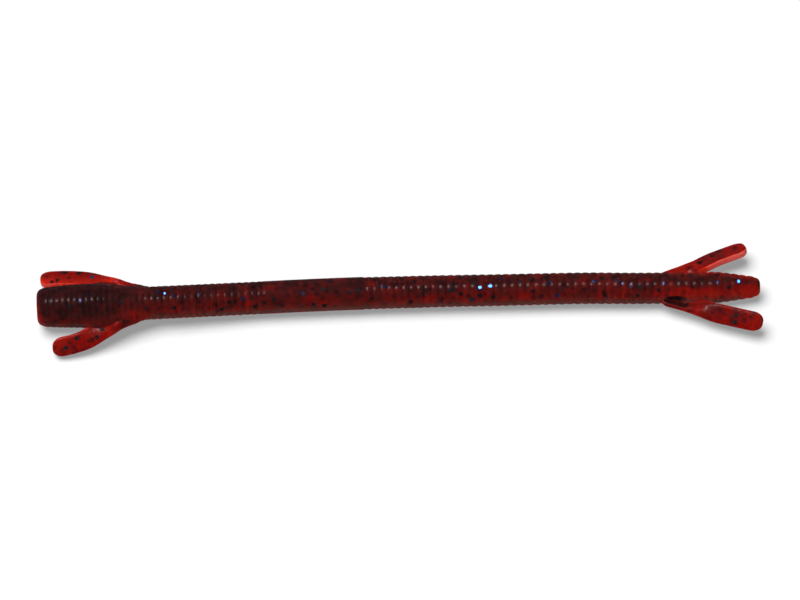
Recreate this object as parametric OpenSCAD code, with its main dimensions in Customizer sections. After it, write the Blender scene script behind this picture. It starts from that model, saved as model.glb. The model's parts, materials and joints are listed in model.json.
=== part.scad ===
// Soft plastic fishing worm: a ribbed moulding with a blunt bulb head, a smooth saddle, a tapering tail
// and a pair of flat arms at each end, with glitter flakes held in its skin.
// It lies along X with its head at -X, and rests on Z = 0. Its left side is -Y.
// The moulding is parted where it bends, on ball faces that share their centre with the bend.

/* [Body] */
// Length from the nose to the tip of the tail
worm_l = 139.6; // [130:0.1:150]
// Diameter over the rib crests behind the head
front_d = 6.4; // [6:0.02:6.6]
// Diameter over the rib crests before the tail
rear_d = 6.1; // [5.8:0.02:6.2]
// Spacing of the ribs between the head and the saddle
front_pitch = 1.32; // [1.2:0.02:1.6]
// Spacing of the ribs between the saddle and the tail
rear_pitch = 1.46; // [1.2:0.02:1.6]
// Radius of a rib's rounded crest
rib_round = 2.2; // [1.6:0.1:3]
// Sideways bow of the whole worm
bow = 1.1; // [0:0.1:3]
// Sideways set of the rear body, ahead of the tail
rear_set = 0.3; // [0:0.05:0.6]

/* [Saddle] */
// Length of the smooth saddle
saddle_l = 19.7; // [18:0.1:22]
// Diameter of the smooth saddle
saddle_d = 6.34; // [6.1:0.02:6.5]
// Middle of the saddle along the worm
saddle_x = -16.3; // [-20:0.1:-10]

/* [Head] */
// Length of the head, from its flat nose to the first bend
head_l = 24.4; // [23.5:0.1:25]
// Distance from the nose to where the bulb has narrowed to the body
flare_x = 21.8; // [20:0.1:23]
// Largest diameter of the bulb
bulb_d = 8.5; // [7.8:0.1:8.8]
// Distance from the nose to the widest part of the bulb
bulb_x = 10; // [8:0.1:12]
// Diameter over the rounded rim of the nose
nose_rim_d = 7.3; // [6.8:0.1:7.6]
// Diameter of the flat on the nose
nose_flat_d = 4.6; // [4.2:0.1:5]
// Spacing of the ribs on the head
head_pitch = 1.16; // [1:0.02:1.4]

/* [Tail] */
// Length of the tail, from the last bend to its tip
tail_l = 22.4; // [21.5:0.1:23.5]
// Length of the tapered end of the tail
taper_l = 8.6; // [7:0.1:10]
// Diameter of the tail at its tip, over the rounded rim
tail_tip_d = 3.7; // [3.4:0.1:4.4]
// Radius of the rounded rim at the tip of the tail
tail_round = 1.1; // [0.8:0.1:1.3]

/* [Arms] */
// Width of an arm across its flat
arm_w = 3.8; // [3.4:0.1:4]
// Thickness of an arm
arm_t = 1.4; // [1.2:0.05:1.5]
// Free length of the left head arm
head_left_l = 13.2; // [11:0.1:17]
// Free length of the right head arm
head_right_l = 15.4; // [11:0.1:17]
// Free length of the left tail arm
tail_left_l = 15.4; // [11:0.1:17]
// Free length of the right tail arm
tail_right_l = 13.1; // [11:0.1:17]
// How far the outer edge of an arm is rolled down, in degrees
roll = 28; // [0:1:35]
// The same for the right head arm, which lies flatter
head_right_roll = 14; // [0:1:35]
// Radius of the round root of an arm
arm_root_r = 1.2; // [1:0.05:1.3]
// Where the blade of an arm bends, from its root
blade_bend_s = 5; // [4.5:0.1:6]

/* [Bends] */
// Gap between the faces of a bend
bend_gap = 0.15; // [0.1:0.01:0.2]
// How much wider than the body the ball face of a bend is, in radius
ball_extra = 0.2; // [0.15:0.01:0.3]

/* [Glitter] */
// Size of a flake across its corners
flake_d = 0.95; // [0.6:0.05:1.1]
// Thickness of a flake
flake_t = 0.12; // [0.08:0.01:0.2]
// How far a flake stands out of the rib crests
flake_proud = 0.03; // [0.01:0.01:0.06]
// How deep a flake lies in the smooth saddle
flake_sink = 0.06; // [0.05:0.01:0.2]
// Flakes for each 10 mm of the body
flake_rate = 9; // [4:1:10]

/* [Hidden] */
$fn = 48;
PLASTIC = "#6b1a18";
ARM_PLASTIC = "#8e1c17";
BLACK_FILM = "#17161c";
BLUE_FILM = "#2f62b8";

// Stations along the worm: nose, the bends in order, and the tip of the tail
half_l = worm_l / 2;
ball_r = front_d / 2 + ball_extra;
saddle_rim = sqrt(pow(ball_r, 2) - pow(saddle_d / 2, 2));
neck_x = head_l - half_l;
saddle_front_x = saddle_x - saddle_l / 2 + saddle_rim;
saddle_rear_x = saddle_x + saddle_l / 2 - saddle_rim;
tail_root_x = half_l - tail_l;
front_mid_x = (neck_x + saddle_front_x) / 2;
REAR_COUNT = 4;
rear_step = (tail_root_x - saddle_rear_x) / REAR_COUNT;
rear_x = [for (i = [0 : REAR_COUNT]) saddle_rear_x + i * rear_step];

// The worm's centre line: bowed in plan, and lifted at the head, where it lies on the bulb
lay_y = 0.13;
head_set_y = 0.6;
rear_set_x = 37;
rear_set_half_l = 24;
function set_share(x) = pow(cos(90 * min(1, abs(x - rear_set_x) / rear_set_half_l)), 2);
function lift(x) = min(1, max(0, (saddle_front_x - x) / (saddle_front_x - neck_x)));
function body_r(x) = (front_d + (rear_d - front_d) * (x - neck_x) / (tail_root_x - neck_x)) / 2;
function rest_z(x) = x <= saddle_rear_x ? saddle_d / 2 : body_r(min(x, tail_root_x));
function spine(x) = [
  x,
  lay_y + bow * pow(cos(90 * x / half_l), 2) - head_set_y * lift(x) + rear_set * set_share(x),
  rest_z(x) + (bulb_d / 2 - saddle_d / 2) * lift(x)
];

// Body sections, from the bend nearer the saddle outwards: name, first station, last station, rib spacing
function section_name(section) = section[0];
function first_x(section) = section[1];
function last_x(section) = section[2];
function pitch(section) = section[3];
SECTIONS = concat(
  [["front_body_1", saddle_front_x, front_mid_x, front_pitch],
   ["front_body_2", front_mid_x, neck_x, front_pitch]],
  [for (i = [0 : REAR_COUNT - 1]) [str("rear_body_", i + 1), rear_x[i], rear_x[i + 1], rear_pitch]]
);

// Where the ribs of a section begin, from its inner bend, so that the parting lies in a groove
function rib_depth(pitch) = rib_round - sqrt(pow(rib_round, 2) - pow(pitch / 2, 2));
function rib_start(x, pitch) =
  x == saddle_front_x || x == saddle_rear_x
    ? saddle_rim
    : sqrt(pow(ball_r, 2) - pow(body_r(x) - rib_depth(pitch), 2));

// Radius of the rib crests along the head and the tail, measured outwards from their bend
function smooth_step(u) = pow(min(1, max(0, u)), 2) * (3 - 2 * min(1, max(0, u)));
function head_r(t) =
  let (from_nose = head_l - t, rim = nose_rim_d / 2, bulb = bulb_d / 2, neck = body_r(neck_x))
  from_nose < bulb_x
    ? bulb - (bulb - rim) * pow(1 - from_nose / bulb_x, 2)
    : bulb - (bulb - neck) * smooth_step((from_nose - bulb_x) / (flare_x - bulb_x));
TAPER_POWER = 1.2;
function tail_r(t) =
  let (root = body_r(tail_root_x), tip = tail_tip_d / 2)
  root - (root - tip) * pow(max(0, t - tail_l + taper_l) / taper_l, TAPER_POWER);

// Arms: name, end of the worm (-1 head, 1 tail), side (-1 left, 1 right), free length, the angle it leaves
// the worm's length at, and its roll
function arm_name(a) = a[0];
function arm_end(a) = a[1];
function arm_side(a) = a[2];
function arm_l(a) = a[3];
function arm_splay(a) = a[4];
function arm_roll(a) = a[5];
function on_head(a) = arm_end(a) < 0;
ARMS = [
  ["head_arm_left", -1, -1, head_left_l, 29, roll],
  ["head_arm_right", -1, 1, head_right_l, 27.5, head_right_roll],
  ["tail_arm_left", 1, -1, tail_left_l, 20, roll],
  ["tail_arm_right", 1, 1, tail_right_l, 21, roll]
];
head_arm_x = -54.4;
head_arm_off = 4.2;
tail_arm_x = 55.2;
tail_arm_off = 3.8;
shoulder_l = 5.8;
shoulder_in = 1.7;
shoulder_start_r = 0.7;
scoop_l = 5;
scoop_widen = 1;
function arm_root(a) =
  on_head(a)
    ? spine(head_arm_x) + [0, arm_side(a) * head_arm_off, 0]
    : spine(tail_arm_x) + [0, arm_side(a) * tail_arm_off, 0];

// Set of an arm: the angle it turns back by for each mm of its length, and its rise at distance s from
// its root. The head arms droop, and level out towards their tips.
droop = 0.29;
level_s = 20;
tail_rise = 0.05;
function arm_curl(a) = on_head(a) ? 2 : 0.2;
function arm_rise(a, s) =
  let (free = max(0, s))
  on_head(a) ? -droop * free * (1 - free / (2 * level_s)) : tail_rise * free;

// Centre line and cross-section of an arm at distance s from its root, in its own frame: X along the
// worm towards the tip, Y outwards, Z up
flatten_s = 4.5;
widen_s = 7;
tip_round = 1.6;
edge_round = 0.5;
function arm_turn(a, s) = arm_splay(a) - arm_curl(a) * s;
function arm_centre(a, s) =
  let (bend_r = 180 / PI / arm_curl(a))
  [
    bend_r * (sin(arm_splay(a)) - sin(arm_turn(a, s))),
    bend_r * (cos(arm_turn(a, s)) - cos(arm_splay(a))),
    arm_rise(a, s)
  ];
function arm_roll_at(a, s) = arm_roll(a) * smooth_step(s / flatten_s);
function across(a, s) = [
  -sin(arm_turn(a, s)) * cos(arm_roll_at(a, s)),
  cos(arm_turn(a, s)) * cos(arm_roll_at(a, s)),
  -sin(arm_roll_at(a, s))
];
function above(a, s) = [
  -sin(arm_turn(a, s)) * sin(arm_roll_at(a, s)),
  cos(arm_turn(a, s)) * sin(arm_roll_at(a, s)),
  cos(arm_roll_at(a, s))
];
function round_off(u) = sqrt(max(0, 1 - u * u));
function arm_half_w(a, s) =
  s < 0
    ? arm_root_r * round_off(s / arm_root_r)
    : (arm_root_r + (arm_w / 2 - arm_root_r) * smooth_step(s / widen_s))
      * round_off(max(0, s - arm_l(a) + tip_round) / tip_round);
function arm_half_t(a, s) =
  s < 0
    ? arm_root_r * round_off(s / arm_root_r)
    : (arm_root_r + (arm_t / 2 - arm_root_r) * smooth_step(s / flatten_s))
      * round_off(max(0, s - arm_l(a) + edge_round) / edge_round);

// Points of an arm's cross-section with half sizes w and t: round at the root, a rounded oblong further out
RING_SIDES = 20;
OBLONG = 0.5;
function signed_pow(u, p) = sign(u) * pow(abs(u), p);
function arm_ring(a, s, w, t) =
  let (p = 1 - (1 - OBLONG) * smooth_step(s / flatten_s))
  [
    for (i = [0 : RING_SIDES - 1])
      let (angle = 360 * i / RING_SIDES)
      arm_centre(a, s)
        + across(a, s) * w * signed_pow(cos(angle), p)
        + above(a, s) * t * signed_pow(sin(angle), p)
  ];

// Half thickness of the root piece's round end, which turns in the hollow end of the blade
KNUCKLE_EXTRA = 0.12;
knuckle_r = arm_t / 2 + KNUCKLE_EXTRA;
function knuckle_half_t(a, s) =
  s < blade_bend_s
    ? arm_half_t(a, s)
    : arm_half_t(a, blade_bend_s) * round_off((s - blade_bend_s) / knuckle_r);

// Distances of the rings along the two pieces of an arm
ROOT_CAP = [for (angle = [80, 60, 40, 20]) -arm_root_r * sin(angle)];
root_rings = concat(
  ROOT_CAP,
  [for (s = [0 : blade_bend_s / 6 : blade_bend_s]) s],
  [for (u = [0.5, 0.8, 0.95, 0.995]) blade_bend_s + knuckle_r * u]
);
function blade_rings(a) = concat(
  [for (i = [0 : 6]) blade_bend_s + (arm_l(a) - tip_round - blade_bend_s) * i / 6],
  [for (angle = [25, 45, 60, 72, 82, 88]) arm_l(a) - tip_round + tip_round * sin(angle)]
);

// One closed solid through rings of points
module loft(rings) {
  sides = len(rings[0]);
  last = len(rings) - 1;
  polyhedron(
    points = [for (ring = rings) each ring],
    faces = concat(
      [[for (i = [0 : sides - 1]) i]],
      [for (k = [0 : last - 1], i = [0 : sides - 1])
        let (j = (i + 1) % sides)
        [k * sides + i, (k + 1) * sides + i, k * sides + j]],
      [for (k = [0 : last - 1], i = [0 : sides - 1])
        let (j = (i + 1) % sides)
        [k * sides + j, (k + 1) * sides + i, (k + 1) * sides + j]],
      [[for (i = [sides - 1 : -1 : 0]) last * sides + i]]
    )
  );
}

// Places what is drawn along +Z from one point to another
module along(from, to) {
  way = to - from;
  translate(from)
    rotate([0, acos(way.z / norm(way)), atan2(way.y, way.x)])
      children();
}

// Half outline of a ribbed stretch, radius across and length up: round crests on a plain core, with a
// spare crest at its start, and at its end too where a ball face trims it
module ribbed_outline(first, last, pitch, crest_r, trimmed) {
  count = round((last - first) / pitch);
  step = (last - first) / count;
  crests = [for (i = [-1 : trimmed ? count : count - 1]) first + (i + 0.5) * step];
  intersection() {
    union() {
      for (t = crests)
        translate([crest_r(t) - rib_round, t]) circle(r = rib_round);
      polygon(concat(
        [[0, crests[0]]],
        [for (t = crests) [crest_r(t) - rib_round / 2, t]],
        [[0, crests[len(crests) - 1]]]
      ));
    }
    translate([0, crests[0] - step / 2]) square([bulb_d, len(crests) * step]);
  }
}

// Half outline of everything on the near side of a ball face round the point at height t
module ball_end(t) {
  translate([0, t]) circle(r = ball_r);
  translate([0, t - worm_l]) square([bulb_d, worm_l]);
}

// A ribbed section of the body, hollowed by the bend it hangs on and domed at the next one
module body_section(section) {
  start = spine(first_x(section));
  end = spine(last_x(section));
  long = norm(end - start);
  first = rib_start(first_x(section), pitch(section));
  last = long + rib_start(last_x(section), pitch(section));
  crest_r = function (t) body_r(first_x(section) + (last_x(section) - first_x(section)) * t / long);
  color(PLASTIC)
    along(start, end)
      rotate_extrude()
        difference() {
          intersection() {
            union() {
              ribbed_outline(first, last, pitch(section), crest_r, true);
              translate([0, long]) square([body_r(last_x(section)) - rib_round / 2, ball_r]);
            }
            ball_end(long);
          }
          circle(r = ball_r + bend_gap);
        }
}

// The smooth saddle, domed at both ends
module saddle() {
  start = spine(saddle_front_x);
  end = spine(saddle_rear_x);
  long = norm(end - start);
  color(PLASTIC)
    along(start, end)
      rotate_extrude()
        intersection() {
          translate([0, -ball_r]) square([saddle_d / 2, long + 2 * ball_r]);
          union() {
            circle(r = ball_r);
            square([saddle_d, long]);
            translate([0, long]) circle(r = ball_r);
          }
        }
}

// Puts what is drawn in an arm's own frame at its place on the worm
module at_arm(a) {
  translate(arm_root(a))
    mirror([on_head(a) ? 1 : 0, 0, 0])
      mirror([0, arm_side(a) < 0 ? 1 : 0, 0])
        children();
}

// Cone on the flank that leads from the body to the root of an arm
module shoulder(a) {
  start = [-shoulder_l, -shoulder_in, 0];
  at_arm(a)
    along(start, [0, 0, 0])
      cylinder(h = norm(start), r1 = shoulder_start_r, r2 = arm_root_r);
}

// Hollow in the flank that the round root of an arm turns in, with a scoop that clears the arm beside it
module arm_socket(a) {
  socket_r = arm_root_r + bend_gap;
  at_arm(a) {
    sphere(r = socket_r);
    along([0, 0, 0], arm_centre(a, scoop_l))
      cylinder(h = scoop_l, r1 = socket_r, r2 = socket_r + scoop_widen);
  }
}

// The blunt bulb head with its flat nose
module head() {
  start = spine(neck_x);
  nose = spine(-half_l);
  long = norm(nose - start);
  nose_round = (nose_rim_d - nose_flat_d) / 2;
  first = rib_start(neck_x, front_pitch);
  color(PLASTIC)
    difference() {
      union() {
        along(start, nose)
          rotate_extrude() {
            ribbed_outline(first, long - nose_round, head_pitch, function (t) head_r(t), false);
            translate([0, long - 2 * nose_round]) square([nose_flat_d / 2, 2 * nose_round]);
            translate([nose_flat_d / 2, long - nose_round]) circle(r = nose_round);
          }
        for (a = ARMS)
          if (on_head(a)) shoulder(a);
      }
      for (a = ARMS)
        if (on_head(a)) arm_socket(a);
      translate(start) sphere(r = ball_r + bend_gap);
    }
}

// The tapering tail
module tail() {
  start = spine(tail_root_x);
  tip = spine(half_l);
  long = norm(tip - start);
  first = rib_start(tail_root_x, rear_pitch);
  color(PLASTIC)
    difference() {
      union() {
        along(start, tip)
          rotate_extrude() {
            ribbed_outline(first, long - tail_round, rear_pitch, function (t) tail_r(t), false);
            intersection() {
              translate([tail_tip_d / 2 - tail_round, long - tail_round]) circle(r = tail_round);
              translate([0, long - 2 * tail_round]) square(2 * tail_round);
            }
            translate([0, long - 2 * tail_round]) square([tail_tip_d / 2 - tail_round, 2 * tail_round]);
          }
        for (a = ARMS)
          if (!on_head(a)) shoulder(a);
      }
      for (a = ARMS)
        if (!on_head(a)) arm_socket(a);
      translate(start) sphere(r = ball_r + bend_gap);
    }
}

// Root piece of an arm: a round root in the flank that flattens into the arm, with a rounded end
module arm_root_piece(a) {
  color(ARM_PLASTIC)
    at_arm(a)
      loft([
        for (s = root_rings)
          arm_ring(a, s, arm_half_w(a, min(s, blade_bend_s)), knuckle_half_t(a, s))
      ]);
}

// Blade of an arm: flat, rolled and round-tipped, with a hollow end that turns on the root piece
module arm_blade(a) {
  color(ARM_PLASTIC)
    at_arm(a)
      difference() {
        loft([for (s = blade_rings(a)) arm_ring(a, s, arm_half_w(a, s), arm_half_t(a, s))]);
        along(
          arm_centre(a, blade_bend_s) - across(a, blade_bend_s) * arm_w,
          arm_centre(a, blade_bend_s) + across(a, blade_bend_s) * arm_w
        )
          cylinder(r = knuckle_r + bend_gap, h = 2 * arm_w);
      }
}

// One glitter flake, lying across Z with its outer face at the given height
module flake(height) {
  translate([0, 0, height - flake_t]) cylinder(d = flake_d, h = flake_t, $fn = 6);
}

// Flakes of one colour round a stretch of the body. Each stands a golden angle on from the one before,
// and every third is blue. None lies on the belly, and none on the flanks where there are arms.
GOLDEN_ANGLE = 137.5;
START_ANGLE_PER_MM = 17;
FLAKE_SPIN = 25;
BELLY_ANGLE = 25;
FLANK_ANGLE = 45;
module body_flakes(from, to, first, last, crest_r, proud, blue, arms) {
  count = floor((last - first) * flake_rate / 10);
  color(blue ? BLUE_FILM : BLACK_FILM)
    along(from, to)
      for (i = [0 : count - 1]) {
        t = first + (last - first) * (i + 0.5) / count;
        angle = GOLDEN_ANGLE * i + START_ANGLE_PER_MM * first;
        on_belly = cos(angle) > cos(BELLY_ANGLE);
        on_flank = abs(sin(angle)) > cos(FLANK_ANGLE);
        if ((i % 3 == 1) == blue && !on_belly && !(arms && on_flank))
          rotate([0, 0, angle])
            translate([0, 0, t])
              rotate([0, 90, 0])
                rotate([0, 0, FLAKE_SPIN * i])
                  flake(crest_r(t) + proud);
      }
}

// Where the flakes of a body piece run, from its inner bend, and the radius they lie at
FLAKE_MARGIN = 1;
FLAKE_END_MARGIN = 2.5;
module section_flakes(section, blue) {
  start = spine(first_x(section));
  end = spine(last_x(section));
  long = norm(end - start);
  crest_r = function (t) body_r(first_x(section) + (last_x(section) - first_x(section)) * t / long);
  first = rib_start(first_x(section), pitch(section)) + FLAKE_MARGIN;
  last = long + rib_start(last_x(section), pitch(section)) - FLAKE_MARGIN;
  body_flakes(start, end, first, last, crest_r, flake_proud, blue, false);
}

module saddle_flakes(blue) {
  end = spine(saddle_rear_x);
  start = spine(saddle_front_x);
  last = norm(end - start) - FLAKE_MARGIN;
  body_flakes(start, end, FLAKE_MARGIN, last, function (t) saddle_d / 2, -flake_sink, blue, false);
}

module head_flakes(blue) {
  first = rib_start(neck_x, front_pitch) + FLAKE_MARGIN;
  last = head_l - FLAKE_END_MARGIN;
  crest_r = function (t) head_r(t);
  body_flakes(spine(neck_x), spine(-half_l), first, last, crest_r, flake_proud, blue, true);
}

module tail_flakes(blue) {
  first = rib_start(tail_root_x, rear_pitch) + FLAKE_MARGIN;
  last = tail_l - FLAKE_END_MARGIN;
  crest_r = function (t) tail_r(t);
  body_flakes(spine(tail_root_x), spine(half_l), first, last, crest_r, flake_proud, blue, true);
}

// Flakes on the two faces of an arm's blade: a row down each face, staggered across it
BLADE_FLAKES = 6;
BLADE_FLAKE_SIDES = [0.4, -0.8, 0.8];
module blade_flakes(a, blue) {
  first = blade_bend_s + knuckle_r + FLAKE_MARGIN;
  last = arm_l(a) - tip_round;
  color(blue ? BLUE_FILM : BLACK_FILM)
    at_arm(a)
      for (i = [0 : BLADE_FLAKES - 1])
        if ((i % 3 == 1) == blue) {
          s = first + (last - first) * i / (BLADE_FLAKES - 1);
          face = i % 2 == 0 ? 1 : -1;
          side = BLADE_FLAKE_SIDES[i % len(BLADE_FLAKE_SIDES)];
          spot = arm_centre(a, s) + across(a, s) * side;
          along(spot, spot + above(a, s) * face)
            rotate([0, 0, FLAKE_SPIN * i])
              flake(arm_half_t(a, s) + flake_proud);
        }
}

BODY_NODES = concat(["saddle", "head", "tail"], [for (section = SECTIONS) section_name(section)]);
ARM_NODES = [for (a = ARMS) each [str(arm_name(a), "_root"), str(arm_name(a), "_blade")]];
FLAKE_HOSTS = concat(BODY_NODES, [for (a = ARMS) str(arm_name(a), "_blade")]);
COLOURS = ["black", "blue"];
function flake_node(colour, host) = str(colour, "_flakes_", host);

saddle();
head();
tail();
for (section = SECTIONS) {
  body_section(section);
}
for (a = ARMS) {
  arm_root_piece(a);
  arm_blade(a);
}
for (colour = COLOURS) {
  blue = colour == "blue";
  saddle_flakes(blue);
  head_flakes(blue);
  tail_flakes(blue);
  for (section = SECTIONS) {
    section_flakes(section, blue);
  }
  for (a = ARMS) {
    blade_flakes(a, blue);
  }
}
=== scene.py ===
import json
import math
import random

import bmesh
import bpy
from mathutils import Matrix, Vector


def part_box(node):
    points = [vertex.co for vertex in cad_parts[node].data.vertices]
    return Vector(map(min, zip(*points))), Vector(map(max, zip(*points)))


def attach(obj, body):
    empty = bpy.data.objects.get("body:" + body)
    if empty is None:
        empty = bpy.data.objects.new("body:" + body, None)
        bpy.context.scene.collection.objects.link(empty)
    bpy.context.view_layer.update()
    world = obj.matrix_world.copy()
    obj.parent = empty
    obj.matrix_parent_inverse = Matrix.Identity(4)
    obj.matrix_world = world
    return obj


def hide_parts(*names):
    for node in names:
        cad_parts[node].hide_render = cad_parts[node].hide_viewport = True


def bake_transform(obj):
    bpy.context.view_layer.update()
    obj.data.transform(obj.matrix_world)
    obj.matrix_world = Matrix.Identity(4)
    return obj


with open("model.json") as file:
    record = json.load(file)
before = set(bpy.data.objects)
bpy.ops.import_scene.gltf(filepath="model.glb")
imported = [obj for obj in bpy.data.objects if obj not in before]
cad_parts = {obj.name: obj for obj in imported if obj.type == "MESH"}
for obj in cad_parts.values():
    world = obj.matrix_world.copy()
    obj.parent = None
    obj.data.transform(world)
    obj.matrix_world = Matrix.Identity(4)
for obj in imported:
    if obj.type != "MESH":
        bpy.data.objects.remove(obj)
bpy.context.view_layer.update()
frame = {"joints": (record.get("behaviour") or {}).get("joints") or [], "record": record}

# The body of the moulding: a blunt bulb head, fine ribs, a smooth saddle and a tapering tail, cast in one
# piece of soft plastisol. The two halves of the mould leave a fine ridge along each flank. The body bends
# anywhere, so its skin is parted into sleeves, one over each joint, cut where nothing bends.
MM = 0.001
FRONT_D, REAR_D, SADDLE_D = 6.4, 6.1, 6.34
BULB_D, BULB_X, FLARE_X = 8.5, 10.0, 21.8
NOSE_RIM_D, NOSE_FLAT_D = 7.3, 4.6
TIP_D, TIP_ROUND, TIP_Y = 3.7, 1.1, 0.13
TAPER_L, TAPER_POWER = 8.6, 1.2
HEAD_PITCH, FRONT_PITCH, REAR_PITCH = 1.16, 1.32, 1.46
RIB_ROUND, BALL_OVER = 2.2, 0.2
BALL_R = FRONT_D / 2 + BALL_OVER
SLOPE_STEP = 0.1

bend = {joint["child"]: Vector(joint["pos_m"]) / MM for joint in frame["joints"]}
nose = Vector(next(m["pos_m"] for m in frame["record"]["mounts"] if m["name"] == "nose_face")) / MM
tip = Vector((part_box("tail")[1].x / MM, TIP_Y, bend["tail"].z))
chain = ["head", "front_body_2", "front_body_1",
         "rear_body_1", "rear_body_2", "rear_body_3", "rear_body_4", "tail"]
stations = [nose] + [bend[body] for body in chain] + [tip]
neck_x, tail_root_x = bend["head"].x, bend["tail"].x


def smooth(t):
    t = max(0.0, min(1.0, t))
    return t * t * (3 - 2 * t)


def chord(i):
    step = stations[i + 1] - stations[i]
    return step / step.x


def heading(i):
    """The spine's slope at a station, level where it turns back, so that it never overshoots."""
    before, after = chord(max(i - 1, 0)), chord(min(i, len(stations) - 2))
    return Vector([2 * b * a / (b + a) if b * a > 0 else 0 for b, a in zip(before, after)])


def spine(x):
    i = max(0, min(len(stations) - 2, sum(s.x <= x for s in stations) - 1))
    a, b = stations[i], stations[i + 1]
    span = b.x - a.x
    t = (x - a.x) / span
    return (a * (1 + 2 * t) * (1 - t) ** 2 + b * t * t * (3 - 2 * t)
            + (heading(i) * (1 - t) - heading(i + 1) * t) * span * t * (1 - t))


def body_r(x):
    return (FRONT_D + (REAR_D - FRONT_D) * (x - neck_x) / (tail_root_x - neck_x)) / 2


def groove_off(x, pitch):
    """How far from a bend its ball face comes out, which is where a groove lies."""
    groove = RIB_ROUND - math.sqrt(RIB_ROUND ** 2 - (pitch / 2) ** 2)
    return math.sqrt(BALL_R ** 2 - (body_r(x) - groove) ** 2)


# The ribs, as the two ends of each, fill the stretches between the partings.
nose_round = (NOSE_RIM_D - NOSE_FLAT_D) / 2
saddle_rim = math.sqrt(BALL_R ** 2 - (SADDLE_D / 2) ** 2)
saddle_rim_x = (bend["front_body_1"].x - saddle_rim, bend["rear_body_1"].x + saddle_rim)
front_ends = [nose.x + nose_round]
front_ends += [bend[body].x - groove_off(bend[body].x, FRONT_PITCH) for body in chain[:2]]
front_ends += [saddle_rim_x[0]]
rear_ends = [saddle_rim_x[1]]
rear_ends += [bend[body].x + groove_off(bend[body].x, REAR_PITCH) for body in chain[4:]]
rear_ends += [tip.x - TIP_ROUND]
stretches = list(zip(front_ends, front_ends[1:], (HEAD_PITCH, FRONT_PITCH, FRONT_PITCH)))
stretches += [(start, end, REAR_PITCH) for start, end in zip(rear_ends, rear_ends[1:])]
ribs = []
for start, end, pitch in stretches:
    count = round((end - start) / pitch)
    ribs += [(start + (end - start) * k / count, start + (end - start) * (k + 1) / count)
             for k in range(count)]


def crest_r(x):
    """Radius over the rib crests."""
    from_nose, to_tip = x - nose.x, tip.x - x
    if from_nose < BULB_X:
        return BULB_D / 2 - (BULB_D - NOSE_RIM_D) / 2 * (1 - from_nose / BULB_X) ** 2
    if x < neck_x:
        return BULB_D / 2 - (BULB_D - FRONT_D) / 2 * smooth((from_nose - BULB_X) / (FLARE_X - BULB_X))
    if saddle_rim_x[0] <= x <= saddle_rim_x[1]:
        return SADDLE_D / 2
    taper = max(0.0, 1 - to_tip / TAPER_L) ** TAPER_POWER
    return body_r(min(x, tail_root_x)) - (REAR_D - TIP_D) / 2 * taper


def skin_r(x):
    """Radius of the skin, down in the grooves between the round rib crests."""
    for start, end in ribs:
        if start <= x < end:
            off = x - (start + end) / 2
            return crest_r(x) - RIB_ROUND + math.sqrt(RIB_ROUND ** 2 - off ** 2)
    return crest_r(x)


# The profile from the nose's flat face to the tail's: the rounded rims, each rib's rings and the saddle.
FACE_RINGS, RIM_RINGS, RINGS_PER_RIB, SADDLE_RING_STEP = 3, 7, 8, 0.6
profile = [(nose.x, NOSE_FLAT_D / 2 * k / FACE_RINGS) for k in range(1, FACE_RINGS)]
for k in range(RIM_RINGS):
    turn = math.pi / 2 * k / RIM_RINGS
    profile.append((nose.x + nose_round * (1 - math.cos(turn)),
                    NOSE_FLAT_D / 2 + nose_round * math.sin(turn)))
for start, end in ribs:
    if start == saddle_rim_x[1]:
        steps = round((saddle_rim_x[1] - saddle_rim_x[0]) / SADDLE_RING_STEP)
        for k in range(steps):
            x = saddle_rim_x[0] + (saddle_rim_x[1] - saddle_rim_x[0]) * k / steps
            profile.append((x, skin_r(x)))
    for k in range(RINGS_PER_RIB):
        x = start + (end - start) * k / RINGS_PER_RIB
        profile.append((x, skin_r(x)))
for k in range(RIM_RINGS + 1):
    turn = math.pi / 2 * k / RIM_RINGS
    profile.append((tip.x - TIP_ROUND * (1 - math.sin(turn)),
                    TIP_D / 2 - TIP_ROUND * (1 - math.cos(turn))))
profile.append((tip.x, (TIP_D / 2 - TIP_ROUND) / 2))

# Angles round a section, from the near flank over the top, close together at the two mould ridges.
RIDGE_H, RIDGE_HALF_DEG, RIDGE_STEPS = 0.06, 3.0, 2
FLANK_STEPS = 26
angles = []
for flank in (0, 180):
    angles += [math.radians(flank + RIDGE_HALF_DEG * k / RIDGE_STEPS)
               for k in range(-RIDGE_STEPS, RIDGE_STEPS + 1)]
    first, last = RIDGE_HALF_DEG, 180 - RIDGE_HALF_DEG
    angles += [math.radians(flank + first + (last - first) * k / FLANK_STEPS)
               for k in range(1, FLANK_STEPS)]


def above_flank(angle):
    """Degrees above the nearer flank."""
    degrees = math.degrees(angle) if math.cos(angle) > 0 else 180 - math.degrees(angle)
    return (degrees + 180) % 360 - 180


# Beside the head arms the flank swells to meet them. Beside the tail arms a pocket lies behind a thin rail.
# Both keep their full size round the middle, the more so the larger the plateau. The end faces have neither.
SWELL_H, SWELL_DEG, SWELL_HALF_DEG, SWELL_FALL, SWELL_HALF_L = 0.9, 8, 36, 2.2, 8.0
FAR_SWELL_HALF_DEG, SWELL_PLATEAU = 10, 1.6
POCKET_IN, POCKET_DEG, POCKET_HALF_DEG, POCKET_OFF_X, POCKET_HALF_L = 0.9, 4, 27, -1.9, 2.7
POCKET_PLATEAU = 1.5
END_FACE_R = 2.4


def swell(x, angle):
    """How much of its full height the swelling beside a head arm has."""
    along = bend["head_arm_left_root"].x - x
    off = above_flank(angle) - SWELL_DEG + SWELL_FALL * max(0, along)
    half = SWELL_HALF_DEG if math.cos(angle) > 0 else FAR_SWELL_HALF_DEG
    return smooth(SWELL_PLATEAU - SWELL_PLATEAU * abs(along) / SWELL_HALF_L) * smooth(1 - abs(off) / half)


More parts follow.
